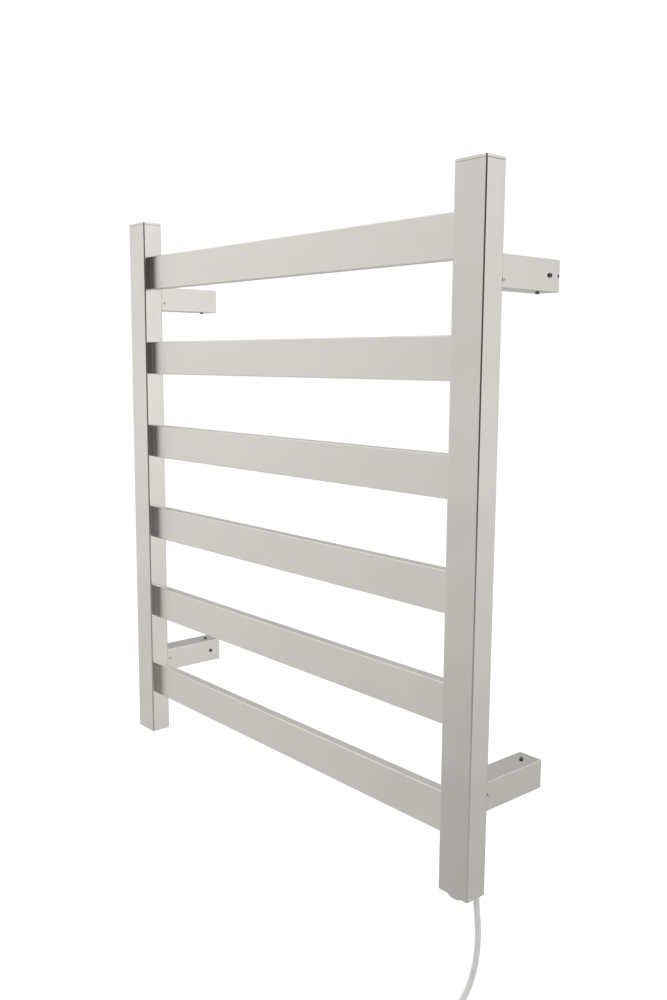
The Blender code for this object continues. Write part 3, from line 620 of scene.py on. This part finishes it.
def plug(material):
    """The moulded plug: a ribbed taper on the lead, a shoulder and a grip with a slight waist.

    Each section is its level, its half width and its outline's power.
    """
    centre = (RUN_LEFT, RUN_FRONT + CORD_DIAMETER * TURNS, 0)
    sections = [(PLUG_TOP, 0.0042, 2.0), (PLUG_TOP - 0.0005, 0.0046, 2.0)]
    for rib in range(RIBS):
        top = PLUG_TOP - 0.0020 - rib * RIB_PITCH
        radius = 0.0047 + rib * 0.00032
        sections += [
            (top, radius, 2.0),
            (top - 0.0004, radius - RIB_DEPTH, 2.0),
            (top - 0.0016, radius - RIB_DEPTH, 2.0),
            (top - 0.0020, radius + 0.0001, 2.0),
        ]
    sections += [
        (-0.7160, 0.0066, 2.0),
        (-0.7175, 0.0085, 2.4),
        (-0.7190, 0.0107, 3.0),
        (-0.7215, 0.0123, 3.8),
        (-0.7250, 0.0129, 4.5),
        (-0.7290, 0.0126, 5.0),
        (-0.7340, 0.0121, 5.0),
        (-0.7390, 0.0125, 5.0),
        (-0.7430, 0.0130, 5.0),
        (-0.7475, 0.0130, 5.0),
        (-0.7486, 0.0127, 5.0),
        (-0.7490, 0.0121, 5.0),
    ]
    rings = [ring(squircle(half, power), level, centre) for level, half, power in sections]
    mesh = loft("plug", rings, sharp_angle=50)
    return add_piece("plug_moulding", mesh, material, "cord_grey", "plug_body")


EVEN = (1, 1, 1)


def texture_place(tree, stretch=EVEN):
    """Coordinates in the object's own space, stretched along the grain."""
    place = tree.nodes.new("ShaderNodeTexCoord")
    mapping = tree.nodes.new("ShaderNodeMapping")
    mapping.inputs["Scale"].default_value = stretch
    tree.links.new(place.outputs["Object"], mapping.inputs["Vector"])
    return mapping.outputs["Vector"]


def noise(tree, vector, scale, detail):
    texture = tree.nodes.new("ShaderNodeTexNoise")
    texture.inputs["Scale"].default_value = scale
    texture.inputs["Detail"].default_value = detail
    tree.links.new(vector, texture.inputs["Vector"])
    return texture.outputs["Fac"]


# The range in which nearly all of a noise texture's values lie
USUAL_LOW, USUAL_HIGH = 0.3, 0.7


def spread(tree, value, low, high):
    """The value's usual range brought to another range."""
    ranged = tree.nodes.new("ShaderNodeMapRange")
    ranged.inputs["From Min"].default_value = USUAL_LOW
    ranged.inputs["From Max"].default_value = USUAL_HIGH
    ranged.inputs["To Min"].default_value = low
    ranged.inputs["To Max"].default_value = high
    tree.links.new(value, ranged.inputs["Value"])
    return ranged.outputs["Result"]


def blend_colors(tree, factor, first, second):
    mix = tree.nodes.new("ShaderNodeMix")
    mix.data_type = "RGBA"
    mix.inputs["A"].default_value = (*first, 1)
    mix.inputs["B"].default_value = (*second, 1)
    tree.links.new(factor, mix.inputs["Factor"])
    return mix.outputs["Result"]


def bump(tree, height, strength, distance, under=None):
    """A relief from a height value, on top of another relief if there is one under it."""
    node = tree.nodes.new("ShaderNodeBump")
    node.inputs["Strength"].default_value = strength
    node.inputs["Distance"].default_value = distance
    tree.links.new(height, node.inputs["Height"])
    if under is not None:
        tree.links.new(under, node.inputs["Normal"])
    return node.outputs["Normal"]


def new_material(name, metallic):
    material = bpy.data.materials.new(name)
    material.use_nodes = True
    shader = material.node_tree.nodes["Principled BSDF"]
    shader.inputs["Metallic"].default_value = metallic
    return material, material.node_tree, shader


STEEL_DARK = (0.640, 0.625, 0.600)
STEEL_LIGHT = (0.680, 0.668, 0.645)
# How little the polishing lines change along a tube, beside how much they change across it
ALONG = 0.02


def polished_steel(name, grain, rough_low, rough_high, painted_light_lift=1.0):
    """Polished stainless steel: fine polishing lines along the tube, slight waves and faint smears. A lift
    above 1 scales the base colour up as painted light, a brighter-lit copy of the same steel.
    """
    material, tree, shader = new_material(name, 1.0)
    plain = texture_place(tree)
    along = texture_place(tree, grain)
    lines = noise(tree, along, scale=900, detail=3)
    smears = noise(tree, plain, scale=14, detail=5)
    waves = noise(tree, plain, scale=9, detail=1)
    # The base colours scaled by the lift: painted light wherever the lift is above 1
    dark, light = [tuple(painted_light_lift * part for part in color) for color in (STEEL_DARK, STEEL_LIGHT)]
    color = blend_colors(tree, spread(tree, smears, 0, 1), dark, light)
    tree.links.new(color, shader.inputs["Base Color"])
    tree.links.new(spread(tree, smears, rough_low, rough_high), shader.inputs["Roughness"])
    waved = bump(tree, waves, strength=0.10, distance=0.004)
    lined = bump(tree, lines, strength=0.06, distance=0.0001, under=waved)
    tree.links.new(lined, shader.inputs["Normal"])
    return material


def fine_grained(name, dark, light, rough_low, rough_high, metallic=0.0, scale=260):
    """A plain metal or plastic with a fine uneven surface."""
    material, tree, shader = new_material(name, metallic)
    plain = texture_place(tree)
    fine = noise(tree, plain, scale, detail=6)
    broad = noise(tree, plain, scale / 9, detail=4)
    color = blend_colors(tree, spread(tree, broad, 0, 1), dark, light)
    tree.links.new(color, shader.inputs["Base Color"])
    tree.links.new(spread(tree, fine, rough_low, rough_high), shader.inputs["Roughness"])
    tree.links.new(bump(tree, fine, strength=0.15, distance=0.0002), shader.inputs["Normal"])
    return material


# Metals and plastics in plain finishes: each slot's two colours and its range of roughness
METALS = {
    "zinc_plated": ((0.50, 0.50, 0.50), (0.64, 0.64, 0.65), 0.28, 0.42),
    "screw_steel": ((0.14, 0.14, 0.14), (0.26, 0.26, 0.26), 0.22, 0.38),
    "brass": ((0.60, 0.46, 0.22), (0.74, 0.58, 0.30), 0.22, 0.34),
}
PLASTICS = {
    "black_plastic": ((0.018, 0.018, 0.018), (0.035, 0.035, 0.035), 0.40, 0.58),
    "ceramic": ((0.76, 0.75, 0.70), (0.86, 0.85, 0.81), 0.45, 0.65),
    "silicone": ((0.42, 0.09, 0.06), (0.55, 0.13, 0.08), 0.50, 0.66),
    "wire_brown": ((0.15, 0.07, 0.03), (0.21, 0.10, 0.045), 0.40, 0.55),
    "wire_blue": ((0.035, 0.10, 0.34), (0.05, 0.14, 0.43), 0.40, 0.55),
    "wire_green": ((0.08, 0.31, 0.08), (0.12, 0.40, 0.11), 0.40, 0.55),
}
VINYL = ((0.45, 0.45, 0.435), (0.52, 0.52, 0.505), 0.38, 0.52)
NYLON = ((0.47, 0.47, 0.455), (0.55, 0.55, 0.535), 0.42, 0.58)


def finishes():
    """One material for each of the record's slots, and steel with its grain along each kind of tube; the
    bars' steel also has its base colour lifted, as painted light.
    """
    upright = polished_steel("steel_upright", (1, 1, ALONG), 0.05, 0.10)
    # The bars' copy: rougher, and its base colour lifted 1.18 times as painted light, so the bars come out
    # brighter than the posts
    level = polished_steel("steel_level_painted_brighter", (ALONG, 1, 1), 0.36, 0.42, painted_light_lift=1.18)
    deep = polished_steel("steel_deep", (1, ALONG, 1), 0.10, 0.16)
    slots = {
        "polished_steel": upright,
        "cord_grey": fine_grained("lead_vinyl", *VINYL, scale=700),
        "relief_grey": fine_grained("relief_nylon", *NYLON, scale=500),
    }
    for slot, look in METALS.items():
        slots[slot] = fine_grained(slot, *look, metallic=1.0)
    for slot, look in PLASTICS.items():
        slots[slot] = fine_grained(slot, *look)
    return slots, level, deep


def finish_nodes(slots):
    """Gives every carried-over CAD node the material of its slot."""
    for entry in frame["record"]["subparts"]:
        mesh = frame["nodes"][entry["node"]].data
        mesh.materials.clear()
        mesh.materials.append(slots[entry["material_slot"]])


FLOOR_SIZE = 30
FLOOR_COLOR = (0.97, 0.97, 0.97, 1)


def floor():
    """A plain pale floor, which the steel doesn't reflect: it reflects the room's own floor."""
    material, _, shader = new_material("floor", 0.0)
    shader.inputs["Roughness"].default_value = 0.9
    shader.inputs["Specular IOR Level"].default_value = 0.0
    shader.inputs["Base Color"].default_value = FLOOR_COLOR
    bm = bmesh.new()
    bmesh.ops.create_grid(bm, x_segments=1, y_segments=1, size=FLOOR_SIZE)
    mesh = bpy.data.meshes.new("floor")
    bm.to_mesh(mesh)
    bm.free()
    mesh.materials.append(material)
    plane = bpy.data.objects.new("floor", mesh)
    plane.location = (0, 0, FLOOR_Z)
    plane.visible_glossy = False
    bpy.context.scene.collection.objects.link(plane)


ROOM_RADIUS = 20.0
ROOM_STEP = 3
ROOM_TINT = (1.0, 0.99, 0.965)
# What the steel reflects: tones by azimuth in degrees, counted from +X towards +Y
ROOM_TONES = (
    (-180, 1.0),
    (-148, 1.0),
    (-132, 0.88),
    (-115, 0.66),
    (-88, 0.09),
    (-14, 0.09),
    (10, 0.92),
    (28, 1.12),
    (41, 1.03),
    (58, 0.92),
    (80, 0.56),
    (150, 0.50),
    (180, 1.0),
)
# How the tones change from the floor below to the lights overhead, by elevation in degrees
LEVEL_TONES = (
    (-90, 0.78),
    (-64, 0.82),
    (-46, 1.10),
    (-32, 0.69),
    (-27, 0.69),
    (-18, 0.82),
    (-10, 0.90),
    (-4, 0.98),
    (8, 1.0),
    (28, 1.22),
    (48, 1.05),
    (90, 0.85),
)
# How far the lit floor takes the place of the dark side, by elevation in degrees
LIT_FLOOR = ((-90, 1.0), (-28, 0.85), (-14, 0.42), (-8, 0.13), (-3, 0.0), (90, 0.0))
LIT_FLOOR_TONE = 0.85
# How far the room goes over to white overhead, by elevation in degrees
CEILING_WHITE = ((-90, 0.0), (35, 0.0), (65, 1.0), (90, 1.0))


def between(table, place):
    """The value that the table gives at a place, with soft steps between its entries."""
    for (start, low), (end, high) in zip(table, table[1:]):
        if start <= place <= end:
            part = (place - start) / (end - start)
            return low + (high - low) * part * part * (3 - 2 * part)
    return table[-1][1]


def room_tone(azimuth, elevation):
    """The room's tone in one direction."""
    tone = between(ROOM_TONES, azimuth)
    tone += (1.0 - tone) * between(CEILING_WHITE, elevation)
    tone += max(0.0, LIT_FLOOR_TONE - tone) * between(LIT_FLOOR, elevation)
    return tone * between(LEVEL_TONES, elevation)


def vertex_glow(name):
    """A light-giving surface in the tones of its own points."""
    material = bpy.data.materials.new(name)
    material.use_nodes = True
    tree = material.node_tree
    tree.nodes.clear()
    attribute = tree.nodes.new("ShaderNodeAttribute")
    attribute.attribute_name = "shade"
    glow = tree.nodes.new("ShaderNodeEmission")
    tree.links.new(attribute.outputs["Color"], glow.inputs["Color"])
    output = tree.nodes.new("ShaderNodeOutputMaterial")
    tree.links.new(glow.outputs["Emission"], output.inputs["Surface"])
    return material


def reflected_room():
    """A room that only reflections see: pale, with a dark side behind the camera and a greyer floor."""
    bm = bmesh.new()
    shade = bm.verts.layers.float_color.new("shade")
    rows = []
    for elevation in range(-90, 91, ROOM_STEP):
        rise = math.radians(elevation)
        row = []
        for azimuth in range(-180, 181, ROOM_STEP):
            turn = math.radians(azimuth)
            across = math.cos(rise)
            direction = Vector((math.cos(turn) * across, math.sin(turn) * across, math.sin(rise)))
            vertex = bm.verts.new(ROOM_RADIUS * direction)
            tone = room_tone(azimuth, elevation)
            vertex[shade] = (*(tone * part for part in ROOM_TINT), 1)
            row.append(vertex)
        rows.append(row)
    for low, high in zip(rows, rows[1:]):
        for i in range(len(low) - 1):
            bm.faces.new((low[i], low[i + 1], high[i + 1], high[i]))
    mesh = bpy.data.meshes.new("room")
    bm.to_mesh(mesh)
    bm.free()
    mesh.materials.append(vertex_glow("room"))
    room = bpy.data.objects.new("room", mesh)
    bpy.context.scene.collection.objects.link(room)
    room.visible_camera = False
    room.visible_diffuse = False
    room.visible_shadow = False


LIGHTS_AIM = (0, -0.1, 0)
WORLD_STRENGTH = 1.04


def softbox(name, at, size, power):
    """A square light aimed at the rack, which the steel doesn't reflect."""
    data = bpy.data.lights.new(name, "AREA")
    data.shape = "SQUARE"
    data.size = size
    data.energy = power
    holder = bpy.data.objects.new(name, data)
    holder.location = at
    holder.rotation_euler = (Vector(LIGHTS_AIM) - Vector(at)).to_track_quat("-Z", "Y").to_euler()
    holder.visible_glossy = False
    bpy.context.scene.collection.objects.link(holder)


def studio():
    world = bpy.data.worlds.new("studio")
    world.use_nodes = True
    background = world.node_tree.nodes["Background"]
    background.inputs["Color"].default_value = (1, 1, 1, 1)
    background.inputs["Strength"].default_value = WORLD_STRENGTH
    bpy.context.scene.world = world
    bpy.context.scene.view_settings.view_transform = "Standard"
    softbox("key", (-1.6, -2.2, 2.4), size=1.6, power=28)
    softbox("fill", (2.2, 0.6, 2.2), size=1.8, power=16)
    floor()
    reflected_room()


def build():
    camera()
    slots, bar_steel_painted_brighter, deep_steel = finishes()
    finish_nodes(slots)
    lead, length = cord(slots["cord_grey"])
    relief = strain_relief(slots["relief_grey"])
    strap, lap = tie(slots["relief_grey"])
    moulding = plug(slots["cord_grey"])
    posts(slots["polished_steel"])
    lids(slots["polished_steel"])
    bars(bar_steel_painted_brighter)
    arms(deep_steel, slots["screw_steel"])
    switch(slots["polished_steel"], slots["zinc_plated"])
    studio()


build()
